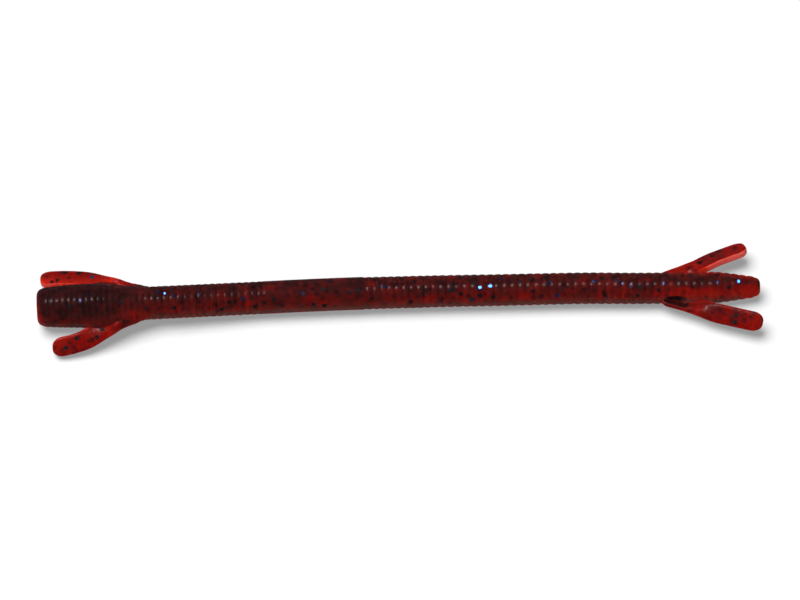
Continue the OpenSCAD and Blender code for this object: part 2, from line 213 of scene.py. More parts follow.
def pocket(x, angle):
    """How much of its full depth the pocket beside a tail arm has."""
    along = x - bend["tail_arm_left_root"].x - POCKET_OFF_X
    off = above_flank(angle) - POCKET_DEG
    away = math.hypot(along / POCKET_HALF_L, off / POCKET_HALF_DEG)
    return smooth(POCKET_PLATEAU - POCKET_PLATEAU * away)


def relief(x, angle):
    """What stands out of the round section, or is pressed into it."""
    ridge = RIDGE_H * max(0.0, 1 - abs(above_flank(angle)) / RIDGE_HALF_DEG)
    return ridge + SWELL_H * swell(x, angle) - POCKET_IN * pocket(x, angle)


def on_body(x, angle, r):
    ahead = (spine(x + SLOPE_STEP) - spine(x - SLOPE_STEP)).normalized()
    side = ahead.cross(Vector((0, 0, 1))).normalized()
    up = side.cross(ahead)
    return spine(x) + (side * math.cos(angle) + up * math.sin(angle)) * r


def cast(name, rings, marks, cut_ends, material):
    """A closed skin over rings of points in mm. The marks are what the material reads at each point, and the
    ends that meet another skin keep a sharp edge. It throws no red light on the floor's grey shadow."""
    around = len(rings[0])
    last = (len(rings) - 1) * around
    points = [p * MM for ring in rings for p in ring]
    points += [sum(ring, Vector()) / around * MM for ring in (rings[0], rings[-1])]
    faces = []
    for k in range(around):
        n = (k + 1) % around
        faces += [(i + k, i + around + k, i + around + n, i + n) for i in range(0, last, around)]
        faces += [(len(points) - 2, k, n), (len(points) - 1, last + n, last + k)]
    mesh = bpy.data.meshes.new(name)
    mesh.from_pydata(points, [], faces)
    shape = bmesh.new()
    shape.from_mesh(mesh)
    bmesh.ops.recalc_face_normals(shape, faces=shape.faces)
    for edge in shape.edges:
        low, high = sorted(v.index for v in edge.verts)
        at_cut = high < around, last <= low and high < last + around
        edge.smooth = not (cut_ends[0] and at_cut[0] or cut_ends[1] and at_cut[1])
    for face in shape.faces:
        face.smooth = True
    shape.to_mesh(mesh)
    shape.free()
    for label, values in marks.items():
        flat = [v for ring in values for v in ring] + [values[0][0], values[-1][0]]
        mesh.attributes.new(label, "FLOAT", "POINT").data.foreach_set("value", flat)
    rest = mesh.attributes.new("rest_mm", "FLOAT_VECTOR", "POINT")
    rest.data.foreach_set("vector", [c / MM for point in points for c in point])
    mesh.materials.append(material)
    piece = bpy.data.objects.new(name, mesh)
    piece.visible_diffuse = False
    bpy.context.scene.collection.objects.link(piece)
    return piece


def linear(hex_colour):
    """An sRGB hex colour as linear RGBA."""
    srgb = [int(hex_colour[i:i + 2], 16) / 255 for i in (1, 3, 5)]
    return [c / 12.92 if c <= 0.04045 else ((c + 0.055) / 1.055) ** 2.4 for c in srgb] + [1]


def add(tree, kind, settings=None, sockets=None, **links):
    """Adds a node: settings are its own values, sockets its inputs' values, links the wired inputs."""
    node = tree.nodes.new(kind)
    for key, value in (settings or {}).items():
        setattr(node, key, value)
    for key, value in (sockets or {}).items():
        node.inputs[key].default_value = value
    for key, source in links.items():
        wanted = int(key[1:]) if key[0] == "i" and key[1:].isdigit() else key.replace("_", " ")
        tree.links.new(node.inputs[wanted], source)
    return node


# Plastisol, cast clear red and heavily tinted: it stays soft and a little oily, so it shines in small sharp
# glints. Thin plastic is bright red and thick plastic a deep maroon, and the depth that sets this also
# carries painted shade and painted glow. Flakes deep inside show as blurred dark spots. The thin flash on the
# mould ridge is grey-brown, and a wider band of that colour beside it is a painted reflection.
TINT_REACH_MM = 15.0
TINTS = [(0.4, "#e4645a"), (1.0, "#c62a14"), (1.8, "#b01e12"), (3.0, "#981a10"), (4.2, "#8a160f"),
         (5.2, "#860f0c"), (5.7, "#79130f"), (6.3, "#6a1512"), (6.9, "#5e1614"), (7.7, "#531614"),
         (8.6, "#461616"), (9.6, "#391515"), (11.5, "#2f1213"), (14.0, "#260f10")]
# The grey-brown of the mould flash, also laid beside the ridge as a painted reflection.
FLASH_AND_SHEEN = "#563e37"
SPOTS = [{"spacing": 2.0, "radius": 0.55, "soft": 0.6, "strength": 0.5, "shift": 0.0},
         {"spacing": 1.8, "radius": 0.42, "soft": 0.5, "strength": 0.6, "shift": 7.3}]
SPOT_BLACK, SPOT_BLUE, SPOT_BLACK_SHARE = "#150c10", "#19121c", 0.62
SPOTS_FROM_MM, SPOTS_FULL_MM = 1.0, 2.5
MOTTLE_MM, MOTTLE_LOW, MOTTLE_HIGH, UNEVEN = 2.2, 0.3, 0.7, 0.22
WAVE_MM, WAVE_H_MM, SMOOTH_WAVE, DIMPLED_WAVE = 0.9, 0.1, 0.36, 1.0
plastisol = bpy.data.materials.new("plastisol_red")
plastisol.use_nodes = True
tree = plastisol.node_tree
shader = tree.nodes["Principled BSDF"]
rest = add(tree, "ShaderNodeAttribute", {"attribute_name": "rest_mm"})
depth_and_shade = add(tree, "ShaderNodeAttribute", {"attribute_name": "depth_and_shade_mm"})
flash_and_sheen = add(tree, "ShaderNodeAttribute", {"attribute_name": "flash_and_sheen"})
dimpled = add(tree, "ShaderNodeAttribute", {"attribute_name": "dimpled"})
mottle = add(tree, "ShaderNodeTexNoise", None, {"Scale": 1 / MOTTLE_MM, "Detail": 3.0},
             Vector=rest.outputs["Vector"])
uneven = add(tree, "ShaderNodeMapRange", None,
             {"From Min": MOTTLE_LOW, "From Max": MOTTLE_HIGH, "To Min": 1 - UNEVEN, "To Max": 1 + UNEVEN},
             Value=mottle.outputs["Fac"])
seen = add(tree, "ShaderNodeMath", {"operation": "MULTIPLY"}, i0=depth_and_shade.outputs["Fac"], i1=uneven.outputs[0])
seen = add(tree, "ShaderNodeMath", {"operation": "DIVIDE"}, {1: TINT_REACH_MM}, i0=seen.outputs[0])
tint = add(tree, "ShaderNodeValToRGB", i0=seen.outputs[0])
while len(tint.color_ramp.elements) < len(TINTS):
    tint.color_ramp.elements.new(0.5)
for element, (deep, colour) in zip(tint.color_ramp.elements, TINTS):
    element.position = deep / TINT_REACH_MM
    element.color = linear(colour)
colour = tint.outputs[0]
thick = add(tree, "ShaderNodeMapRange", None, {"From Min": SPOTS_FROM_MM, "From Max": SPOTS_FULL_MM},
            Value=depth_and_shade.outputs["Fac"])
for spots in SPOTS:
    shifted = add(tree, "ShaderNodeVectorMath", {"operation": "ADD"}, {1: (spots["shift"],) * 3},
                  i0=rest.outputs["Vector"])
    cells = add(tree, "ShaderNodeTexVoronoi", None, {"Scale": 1 / spots["spacing"]},
                Vector=shifted.outputs[0])
    edge = spots["radius"] / spots["spacing"]
    spot = add(tree, "ShaderNodeMapRange", {"interpolation_type": "SMOOTHSTEP"},
               {"From Min": edge * (1 - spots["soft"]), "From Max": edge * (1 + spots["soft"]),
                "To Min": spots["strength"], "To Max": 0.0}, Value=cells.outputs["Distance"])
    held = add(tree, "ShaderNodeMath", {"operation": "MULTIPLY"}, i0=spot.outputs[0], i1=thick.outputs[0])
    film = add(tree, "ShaderNodeValToRGB", i0=cells.outputs["Color"])
    film.color_ramp.interpolation = "CONSTANT"
    film.color_ramp.elements[0].color = linear(SPOT_BLACK)
    film.color_ramp.elements[1].color = linear(SPOT_BLUE)
    film.color_ramp.elements[1].position = SPOT_BLACK_SHARE
    colour = add(tree, "ShaderNodeMix", {"data_type": "RGBA"}, None, Factor=held.outputs[0], i6=colour,
                 i7=film.outputs[0]).outputs[2]
colour = add(tree, "ShaderNodeMix", {"data_type": "RGBA"}, {7: linear(FLASH_AND_SHEEN)}, Factor=flash_and_sheen.outputs["Fac"],
             i6=colour).outputs[2]
tree.links.new(shader.inputs["Base Color"], colour)
wave = add(tree, "ShaderNodeTexNoise", None, {"Scale": 1 / WAVE_MM, "Detail": 2.0},
           Vector=rest.outputs["Vector"])
wavy = add(tree, "ShaderNodeMapRange", None, {"To Min": SMOOTH_WAVE, "To Max": DIMPLED_WAVE},
           Value=dimpled.outputs["Fac"])
bump = add(tree, "ShaderNodeBump", None, {"Distance": WAVE_H_MM * MM}, Height=wave.outputs["Fac"],
           Strength=wavy.outputs[0])
tree.links.new(shader.inputs["Normal"], bump.outputs[0])
shader.inputs["Roughness"].default_value = 0.24
shader.inputs["IOR"].default_value = 1.47
shader.inputs["Specular IOR Level"].default_value = 0.1
shader.inputs["Subsurface Weight"].default_value = 0.8
shader.inputs["Subsurface Radius"].default_value = (1.0, 0.2, 0.15)
shader.inputs["Subsurface Scale"].default_value = 2.0 * MM

# The sleeves: each goes from one cut to the next, over the joint between the body nearer the saddle and the
# one that it is named for. A cut lies on a rib's crest or on the plain saddle, clear of the bends.
SADDLE_CUT, CUT_TOLERANCE = 4.8, 1e-6
SADDLE_REACH, FRONT_REACH, REAR_REACH, HEAD_REACH, TAIL_REACH = 4.3, 4.4, 6.2, 3.2, 2.6
crests = [(start + end) / 2 for start, end in ribs]
ring_x = [x for x, r in profile]


def nearest(places, x):
    return min(places, key=lambda place: abs(place - x))


cuts = [nose.x, nearest(crests, (neck_x + bend["front_body_2"].x) / 2),
        nearest(crests, (bend["front_body_2"].x + bend["front_body_1"].x) / 2),
        nearest(ring_x, bend["front_body_1"].x + SADDLE_CUT),
        nearest(ring_x, bend["rear_body_1"].x - SADDLE_CUT)]
cuts += [nearest(crests, (bend[near].x + bend[far].x) / 2) for near, far in zip(chain[3:-1], chain[4:])]
cuts += [tip.x]
# Body, the body nearer the saddle, and how far the bend reaches into that one and into this one.
sleeves = [
    ("head", "front_body_2", FRONT_REACH, HEAD_REACH),
    ("front_body_2", "front_body_1", FRONT_REACH, FRONT_REACH),
    ("front_body_1", "saddle", SADDLE_REACH, FRONT_REACH),
    ("saddle", None, 0, 0),
    ("rear_body_1", "saddle", SADDLE_REACH, REAR_REACH),
    ("rear_body_2", "rear_body_1", REAR_REACH, REAR_REACH),
    ("rear_body_3", "rear_body_2", REAR_REACH, REAR_REACH),
    ("rear_body_4", "rear_body_3", REAR_REACH, REAR_REACH),
    ("tail", "rear_body_4", REAR_REACH, TAIL_REACH),
]


def follow(piece, body, base):
    """Attaches a piece to its body when it has no base; otherwise only bakes its placement into its mesh."""
    if base is None:
        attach(piece, body)
        return
    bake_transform(piece)


# What the skin's material reads: how deep the plastic looks, which also carries painted shade and glow, how
# much of it takes the flash's colour, the flash itself and a painted reflection, and how dimpled it is.
TAIL_LOW_GLOW, TAIL_DEEP, TAIL_THIN_L, NOSE_THIN, NOSE_THIN_L = 0.55, 0.08, 7.0, 2.5, 1.3
TAIL_LOW_DEG, TAIL_LOW_SPAN_DEG = 30, 60
TIP_DARK, TIP_DARK_L = 3.0, 0.9
SWELL_GLOW, POCKET_DARK = 0.4, 14.0
BODY_DEPTH, PAINTED_TOP_SHADE, PAINTED_TOP_SHADE_TURN_DEG = 1.0, 0.4, 30
# The flash on the ridge, then the painted reflection beside it.
FLASH_DEG, FLASH_SHARE, PAINTED_SHEEN_DEG, PAINTED_SHEEN_SHARE = 12, 0.5, 38, 0.42
TAIL_DIMPLED_L = 1.5


def body_depth_and_shade(x, angle):
    """How deep the plastic looks: less at the nose's rim and in the tail, with a painted glow on the tail's
    lower flank and by the head arms, painted shade in the pockets and on top of the tip, and painted shade
    towards the top and far side that turns to a painted glow low on the near side and underneath."""
    # A painted glow on the tail's lower flank.
    low = 1 - smooth((above_flank(angle) - TAIL_LOW_DEG) / TAIL_LOW_SPAN_DEG)
    tail_glow_and_shade = 1 + (TAIL_DEEP - TAIL_LOW_GLOW * low) * smooth((x - tail_root_x) / TAIL_THIN_L)
    # Painted shade on top of the tail's tip.
    tail_glow_and_shade += TIP_DARK / TIP_D * max(0, math.sin(angle)) * smooth(1 - (tip.x - x) / TIP_DARK_L)
    rim = NOSE_THIN * smooth(1 - (x - nose.x) / NOSE_THIN_L)
    # A painted glow by the head arms and painted shade in the pockets.
    depth_and_shade = 2 * crest_r(x) * tail_glow_and_shade - rim - SWELL_GLOW * swell(x, angle) + POCKET_DARK * pocket(x, angle)
    # Painted shade towards the top and far side, a painted glow low on the near side and underneath.
    return depth_and_shade * (BODY_DEPTH + PAINTED_TOP_SHADE * math.sin(angle - math.radians(PAINTED_TOP_SHADE_TURN_DEG)))


def body_flash_and_sheen(x, angle):
    """How much of the colour is the flash's: most on the mould ridge, and beside it a painted reflection in
    the same colour; none by the arms.
    """
    off = abs(above_flank(angle))
    past_bulb = smooth((x - nose.x - BULB_X) / (FLARE_X - BULB_X))
    share = FLASH_SHARE * smooth(1 - off / FLASH_DEG) + PAINTED_SHEEN_SHARE * past_bulb * smooth(1 - off / PAINTED_SHEEN_DEG)
    return share * (1 - pocket(x, angle)) * (1 - swell(x, angle))


def body_dimpled(x):
    """The tail is dimpled as the arms are, which breaks up the glints on its ribs."""
    return smooth(1 + (x - tail_root_x) / TAIL_DIMPLED_L)


for (body, base, base_reach, reach), start, end in zip(sleeves, cuts, cuts[1:]):
    part = [(x, r) for x, r in profile if start - CUT_TOLERANCE <= x <= end + CUT_TOLERANCE]
    rings = [[on_body(x, a, r + (relief(x, a) if r > END_FACE_R else 0)) for a in angles] for x, r in part]
    marks = {"depth_and_shade_mm": [[body_depth_and_shade(x, a) for a in angles] for x, r in part],
             "flash_and_sheen": [[body_flash_and_sheen(x, a) if r > END_FACE_R else 0 for a in angles] for x, r in part],
             "dimpled": [[body_dimpled(x)] * len(angles) for x, r in part]}
    piece = cast(f"skin_{body}", rings, marks, (body != "head", body != "tail"), plastisol)
    follow(piece, body, base)
    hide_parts(body)

# The arms: two flat paddles at each end, cast in one with the body. Each leaves the flank as a stem, round at
# the head and a thin rail at the tail, and flattens to a tilted blade with a round end, thin enough to glow.
# Each arm's skin is parted between the stem and the blade.
ARM_W, STEM_R = 3.8, 1.2
FLATTEN_S, WIDEN_S, ARM_CUT_S = 4.5, 7.0, 2.5
ARM_TIP_ROUND, ARM_TIP_L, ARM_EDGE_ROUND = 1.6, 2.1, 0.5
ARM_OBLONG = 0.38
WEB_FADE_L, WEB_DROP = 6.0, 0.57
EMERGE_L, PROUD_S, PROUD_END_S, PROUD_EASE_L = 2.5, -6, 3.5, 3
DROOP, LEVEL_S, TAIL_RISE = 0.29, 20, 0.05
ARM_RING_STEP, ARM_SIDES, TIP_RINGS = 0.3, 40, 16
ROOT_BEND_S, BLADE_BEND_S = (-2.6, 2.2), (2.8, 7.2)
# How far back each end's stems start, their splay there, where they grow from slim to full, their half
# thickness, how far they stand out of the flank, and where the web to the body starts and how fast it grows.
stems = {
    "head": {"back": 7.5, "splay": 5, "slim_s": -7.5, "full_s": -3.5, "half_t": 1.2, "proud": 0.25,
             "web_s": -0.7, "web_l": 1.5},
    "tail": {"back": 5.8, "splay": 19, "slim_s": -0.4, "full_s": 2.6, "half_t": 0.8, "proud": 0.1,
             "web_s": -5.0, "web_l": 2.5},
}
# Each arm's length, splay at the joint, curl per mm, roll and where that is full, thickness and slim stem
# radius, then its web's width, end and thinning. The last row is how deep the plastic looks, painted shade
# and
# glow included: where the stem leaves the body's depth for its own, the stem, the inner side and the face's
# inner and outer halves. The near arms are darker with painted shade; the far arms' inner sides, and the far
# head arm's inner half, are lighter with a painted glow.
arms = {
    "head_arm_left": {
        "length": 13.2, "splay": 29, "curl": 2.0, "roll": 28, "roll_s": 4.5, "thick": 1.4, "slim_r": 0.66,
        "web_w": 0.8, "web_end_s": 8.5, "web_thin": 0.7,
        "glow_s": -1.5, "stem": 2.4, "inner_side": 2.6, "inner": 3.3, "outer": 4.1},
    "head_arm_right": {
        "length": 15.4, "splay": 27.5, "curl": 2.0, "roll": 14, "roll_s": 4.5, "thick": 1.4, "slim_r": 0.66,
        "web_w": 0.8, "web_end_s": 8.5, "web_thin": 0.7,
        "glow_s": -3.4, "stem": 1.2, "inner_side": 1.0, "inner": 1.4, "outer": 5.2},
    "tail_arm_left": {
        "length": 15.4, "splay": 20, "curl": 0.2, "roll": 28, "roll_s": 6.0, "thick": 1.4, "slim_r": 0.45,
        "web_w": 1.15, "web_end_s": 6.0, "web_thin": 0.7,
        "glow_s": -5, "stem": 4.7, "inner_side": 5.0, "inner": 5.2, "outer": 4.2},
    "tail_arm_right": {
        "length": 13.1, "splay": 21, "curl": 0.2, "roll": 28, "roll_s": 3.5, "thick": 1.55, "slim_r": 1.0,
        "web_w": 1.2, "web_end_s": 7.5, "web_thin": 0.0,
        "glow_s": -5, "stem": 3.0, "inner_side": 0.5, "inner": 4.9, "outer": 4.9},
}
# A painted glow towards the blades' tips, and painted shade on the rail's pocket side.
ARM_DEPTH, GLOW_L, TIP_GLOW, TIP_GLOW_L = 0.88, 4, 0.25, 6.0
INNER_COS, INNER_COS_EASE = 0.68, 0.1
BLADE_TINT_S, BLADE_TINT_L = 1, 4
RAIL_DARK_S, RAIL_DARK_L, RAIL_DARK_END_S, RAIL_DARK_SIDE = -5, 1.5, 0.8, 2
arm_angles = [2 * math.pi * k / ARM_SIDES for k in range(ARM_SIDES)]


def end_of(arm):
    return arm.split("_")[0]


def arm_turn(arm, s):
    """Degrees that the arm's centre line is turned out of the worm's length."""
    splay, stem = arms[arm]["splay"], stems[end_of(arm)]
    return splay - arms[arm]["curl"] * s if s >= 0 else splay + (splay - stem["splay"]) * s / stem["back"]


def arm_centre(arm, s):
    """A point on the arm's centre line, s mm from its joint, in its own frame: to the tip, out and up."""
    splay, stem = arms[arm]["splay"], stems[end_of(arm)]
    per_mm = math.radians(-arms[arm]["curl"] if s >= 0 else (splay - stem["splay"]) / stem["back"])
    turn, first = math.radians(arm_turn(arm, s)), math.radians(splay)
    ahead = max(0, s)
    rise = -DROOP * ahead * (1 - ahead / (2 * LEVEL_S)) if end_of(arm) == "head" else TAIL_RISE * ahead
    return Vector(((math.sin(turn) - math.sin(first)) / per_mm,
                   (math.cos(first) - math.cos(turn)) / per_mm, rise))


def round_end(half, corner, corner_l, to_tip):
    """Half a size of the arm's section, rounded off over the last corner_l mm."""
    inside = max(0, 1 - to_tip / corner_l)
    return half - corner + corner * math.sqrt(max(0, 1 - inside ** 2))


def oblong(value, flat):
    """A sine or cosine drawn towards 1, which makes a round section an oblong."""
    return math.copysign(abs(value) ** (1 - (1 - ARM_OBLONG) * flat), value)


def place_arm(arm, point):
    ahead = -1 if end_of(arm) == "head" else 1
    out = -1 if arm.endswith("left") else 1
    return bend[f"{arm}_root"] + Vector((ahead * point.x, out * point.y, point.z))


def on_arm(arm, s, angle, lift):
    """A point on the arm's skin, lifted off it, in mm."""
    a, stem = arms[arm], stems[end_of(arm)]
    flat = smooth(s / FLATTEN_S)
    full = smooth((s - stem["slim_s"]) / (stem["full_s"] - stem["slim_s"]))
    stem_r = a["slim_r"] + (STEM_R - a["slim_r"]) * full
    stem_t = min(stem_r, stem["half_t"])
    half_w = stem_r + (ARM_W / 2 - STEM_R) * smooth(s / WIDEN_S)
    half_w = round_end(half_w, ARM_TIP_ROUND, ARM_TIP_L, a["length"] - s)
    half_t = stem_t + (a["thick"] / 2 - stem_t) * flat
    half_t = round_end(half_t, ARM_EDGE_ROUND, ARM_EDGE_ROUND, a["length"] - s)
    stand_off = (STEM_R - stem_r) * smooth((s + stem["back"]) / EMERGE_L) if end_of(arm) == "tail" else 0
    stand_off += (stem["proud"] * smooth((s - PROUD_S) / PROUD_EASE_L)
                  * smooth((PROUD_END_S - s) / PROUD_EASE_L))
    web = smooth((s - stem["web_s"]) / stem["web_l"]) * smooth((a["web_end_s"] - s) / WEB_FADE_L)
    web *= max(0, -oblong(math.cos(angle), flat))
    out = oblong(math.cos(angle), flat) * (half_w + lift) + stand_off - a["web_w"] * web
    up = oblong(math.sin(angle), flat) * (half_t + lift) * (1 - a["web_thin"] * web)
    up -= WEB_DROP * a["web_thin"] * a["web_w"] * web
    turn, tilt = math.radians(arm_turn(arm, s)), math.radians(a["roll"]) * smooth(s / a["roll_s"])
    across = Vector((-math.sin(turn) * math.cos(tilt), math.cos(turn) * math.cos(tilt), -math.sin(tilt)))
    above = Vector((-math.sin(turn) * math.sin(tilt), math.cos(turn) * math.sin(tilt), math.cos(tilt)))
    return place_arm(arm, arm_centre(arm, s) + across * out + above * up)


def arm_depth_and_shade(arm, s, angle):
    """How deep the plastic looks along and across the arm, with painted light in it. The stem starts as deep
    in colour as the body, and the near tail arm's, which is a thin rail, is darkened with painted shade on
    the side of its pocket. A painted glow lightens the tips, and painted shade darkens the top faces."""
    a = arms[arm]
    face = a["inner"] + (a["outer"] - a["inner"]) * smooth((oblong(math.cos(angle), 1) + 1) / 2)
    blade = face + (a["inner_side"] - face) * smooth((-math.cos(angle) - INNER_COS) / INNER_COS_EASE)
    blade *= 1 - TIP_GLOW * smooth((s - a["length"] + TIP_GLOW_L) / TIP_GLOW_L)
    stem = REAR_D + (a["stem"] - REAR_D) * smooth((s - a["glow_s"]) / GLOW_L)
    if a["slim_r"] < STEM_R / 2:
        dark = smooth((s - RAIL_DARK_S) / RAIL_DARK_L) * smooth(RAIL_DARK_END_S - s)
        stem += POCKET_DARK * smooth(-RAIL_DARK_SIDE * math.cos(angle)) * dark
    depth_and_shade = stem + (blade - stem) * smooth((s - BLADE_TINT_S) / BLADE_TINT_L)
    # Painted shade on the top faces and a painted glow underneath.
    return depth_and_shade * (ARM_DEPTH + PAINTED_TOP_SHADE * math.sin(angle))


for arm, a in arms.items():
    straight = a["length"] - ARM_TIP_L - ARM_CUT_S
    steps = round(straight / ARM_RING_STEP)
    blade_s = [ARM_CUT_S + straight * k / steps for k in range(steps)]
    blade_s += [a["length"] - ARM_TIP_L * (1 - math.sin(math.radians(90 * k / TIP_RINGS)))
                for k in range(TIP_RINGS + 1)]
    stem_l = stems[end_of(arm)]["back"] + ARM_CUT_S
    steps = round(stem_l / ARM_RING_STEP)
    stem_s = [ARM_CUT_S - stem_l * (1 - k / steps) for k in range(steps + 1)]
    for part, base, s_list, bend_s in (("root", end_of(arm), stem_s, ROOT_BEND_S),
                                       ("blade", f"{arm}_root", blade_s, BLADE_BEND_S)):
        rings = [[on_arm(arm, s, angle, 0) for angle in arm_angles] for s in s_list]
        marks = {"depth_and_shade_mm": [[arm_depth_and_shade(arm, s, angle) for angle in arm_angles] for s in s_list],
                 "dimpled": [[1.0] * ARM_SIDES] * len(s_list)}
        piece = cast(f"skin_{arm}_{part}", rings, marks, (part == "blade", part == "root"), plastisol)
        start, stop = (place_arm(arm, arm_centre(arm, s)) * MM for s in bend_s)
        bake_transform(piece)
        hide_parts(f"{arm}_{part}")

# The glitter: hexagons cut from metallised polyester film, black and fewer blue, stirred into the plastic
# before it is cast. The flakes that show lie in the skin, flush with it.
FLAKE_D, FLAKE_T, FLAKE_PROUD = 1.0, 0.07, 0.02
FLAKE_SIZES = (0.8, 1.05)
FLAKE_CORNERS = 6
MOST_VEILED, BLADE_VEILED = 0.5, 0.05
# The sides of the body and of the blades that the photographed side hides get flakes at random.
HIDDEN_FROM_DEG, HIDDEN_TO_DEG, HIDDEN_GAP_MM, HIDDEN_PER_BLUE = 156, 325, 1.0, 3
UNDER_FLAKES, UNDER_FROM_S, UNDER_TIP_GAP, UNDER_HALF_W = 4, 4, 2, 1
# Places on the body: mm from the middle, degrees from the near flank and how far a blue flake is veiled.
BLUE_ON_BODY = [
    (-61.4, 72, 0.92), (-46.3, 103, 0.8), (-43.3, 82, 0.9), (-39.2, 86, 0.93), (-30.2, 60, 0.8),
    (-18.5, 67, 0.8), (-3.6, 86, 0.9), (-2.4, 82, 0.9), (13.8, 26, 0.8), (19.7, 107, 0.8), (29.0, 83, 0.9),
    (30.5, 35, 0.7), (37.7, 87, 0.6), (41.8, 92, 0.9), (42.8, 82, 0.9), (44.7, 70, 0.97), (51.1, 79, 0.93),
    (61.3, 82, 0.9),
]
# The few blue ones that lie tilted, out of the ribs, so that they catch the light, and each one's size.
BRIGHT_ON_BODY = [(-45.1, 92, 0.4), (15.6, 71, 0.72), (17.6, 75, 0.72), (65.5, 86, 0.75)]
BRIGHT_DEG, BRIGHT_RISE, BRIGHT_LIFT = 77, 0.18, 0.06
BLACK_ON_BODY = [
    (-63.3, 59), (-53.4, 65), (-48.7, 39), (-43.5, 39), (-34.5, 24), (-33.1, 49), (-28.2, 113), (-27.9, 29),
    (-26.1, 40), (-24.1, 53), (-16.6, 26), (-14.7, 79), (-14.5, 19), (-13.1, 112), (-9.7, 64), (-7.9, 68),
    (-5.3, 40), (0.6, 112), (2.2, 22), (3.1, 101), (4.6, 49), (8.3, 32), (10.0, 65), (11.4, 115), (11.9, 48),
    (14.7, 86), (15.6, 41), (18.1, 35), (23.4, 90), (26.1, 53), (26.3, 97), (28.3, 105), (39.1, 100),
    (40.0, 35), (41.7, 112), (46.1, 32), (46.4, 67), (50.1, 52), (54.8, 116), (61.6, 116), (63.6, 59),
]
# Places on the blades' upper faces, in mm from the joint and mm outwards.
BLACK_ON_BLADES = {
    "head_arm_left": [(3.1, -0.4), (4.6, 0.3), (8.4, -0.8), (10.6, 0.4)],
    "head_arm_right": [(8.2, 1.1), (10.7, 1.2), (12.0, -0.8), (13.1, -1.2)],
    "tail_arm_left": [(10.0, -0.4), (10.2, 1.0)],
    "tail_arm_right": [(3.5, -0.2), (6.2, 0.3)],
}
BLUE_ON_BLADES = {
    "head_arm_left": [], "head_arm_right": [(5.3, 0.4)], "tail_arm_left": [], "tail_arm_right": [],
}
toss = random.Random(12)

# Metallised film: black flakes are plain dark spots, blue ones are dark until they catch the lamp. One deeper
# in the plastic is veiled by it.
films = {}
for name, hex_colour, veil_colour, metallic, roughness in (("black", "#140b0e", "#171019", 0.0, 0.5),
                                                           ("blue", "#3a6cc4", "#3c2c35", 0.9, 0.3)):
    film = bpy.data.materials.new(f"polyester_film_{name}")
    film.use_nodes = True
    tree = film.node_tree
    shader = tree.nodes["Principled BSDF"]
    veiled = add(tree, "ShaderNodeAttribute", {"attribute_name": "veiled"})
    veil = add(tree, "ShaderNodeMix", {"data_type": "RGBA"}, {6: linear(hex_colour), 7: linear(veil_colour)},
               Factor=veiled.outputs["Fac"])
    tree.links.new(shader.inputs["Base Color"], veil.outputs[2])
    shader.inputs["Metallic"].default_value = metallic
    shader.inputs["Roughness"].default_value = roughness
    shader.inputs["Specular IOR Level"].default_value = 0.2
    films[name] = film


def on_blade(arm, s, out, face, lift):
    """A point on a blade's upper (1) or under (-1) face, out mm from its centre line."""
    flat = smooth(s / FLATTEN_S)
    half_w = STEM_R + (ARM_W / 2 - STEM_R) * smooth(s / WIDEN_S)
    power = 1 - (1 - ARM_OBLONG) * flat
    cosine = math.copysign(min(1, abs(out) / half_w) ** (1 / power), out)
    return on_arm(arm, s, face * math.acos(cosine), lift)


def flakes(name, places, colour):
    """A piece of many flakes. Each place is how far the flake is veiled, its size, and a skin that turns the
    flake's own two axes and a lift into a point on the plastic."""
    points, faces, veils = [], [], []
    for veiled, size, skin in places:
        radius, spin = FLAKE_D / 2 * size, toss.uniform(0, 2 * math.pi / FLAKE_CORNERS)
        first = len(points)
        corners = [spin + 2 * math.pi * k / FLAKE_CORNERS for k in range(FLAKE_CORNERS)]
        points.append(skin(0, 0, FLAKE_PROUD))
        under = FLAKE_PROUD - FLAKE_T
        for reach, lift in ((radius / 2, FLAKE_PROUD), (radius, FLAKE_PROUD), (radius, under)):
            points += [skin(reach * math.cos(c), reach * math.sin(c), lift) for c in corners]
        points.append(skin(0, 0, under))
        bottom = len(points) - 1
        for k in range(FLAKE_CORNERS):
            n = (k + 1) % FLAKE_CORNERS
            faces.append((first, first + 1 + k, first + 1 + n))
            for ring in (first + 1, first + 1 + FLAKE_CORNERS):
                faces.append((ring + k, ring + FLAKE_CORNERS + k, ring + FLAKE_CORNERS + n, ring + n))
            faces.append((bottom, bottom - FLAKE_CORNERS + n, bottom - FLAKE_CORNERS + k))
        veils += [veiled] * (len(points) - first)
    mesh = bpy.data.meshes.new(name)
    mesh.from_pydata([point * MM for point in points], [], faces)
    shape = bmesh.new()
    shape.from_mesh(mesh)
    bmesh.ops.recalc_face_normals(shape, faces=shape.faces)
    shape.to_mesh(mesh)
    shape.free()
    mesh.attributes.new("veiled", "FLOAT", "POINT").data.foreach_set("value", veils)
    mesh.materials.append(films[colour])
    piece = bpy.data.objects.new(name, mesh)
    piece.visible_diffuse = False
    bpy.context.scene.collection.objects.link(piece)
    return piece


def body_skin(x, degrees):
    angle = math.radians(degrees)
    r = skin_r(x)
    return lambda u, v, lift: on_body(x + u, angle + v / r, skin_r(x + u) + relief(x + u, angle) + lift)


def tilted_skin(x, degrees):
    angle = math.radians(degrees)
    r = skin_r(x) + BRIGHT_LIFT
    rise = math.tan(math.radians(degrees - BRIGHT_DEG))
    return lambda u, v, lift: on_body(x + u, angle + v / r, r + lift + u * BRIGHT_RISE + v * rise)


def blade_skin(arm, s, out, face):
    return lambda u, v, lift: on_blade(arm, s + u, out + v, face, lift)


def scatter(count, *ranges):
    """Random places in mm, each clear of the others."""
    places = []
    while len(places) < count:
        place = [toss.uniform(low, high) for low, high in ranges]
        if all(math.dist(place, other) > FLAKE_D * FLAKE_SIZES[1] for other in places):
            places.append(place)
    return places


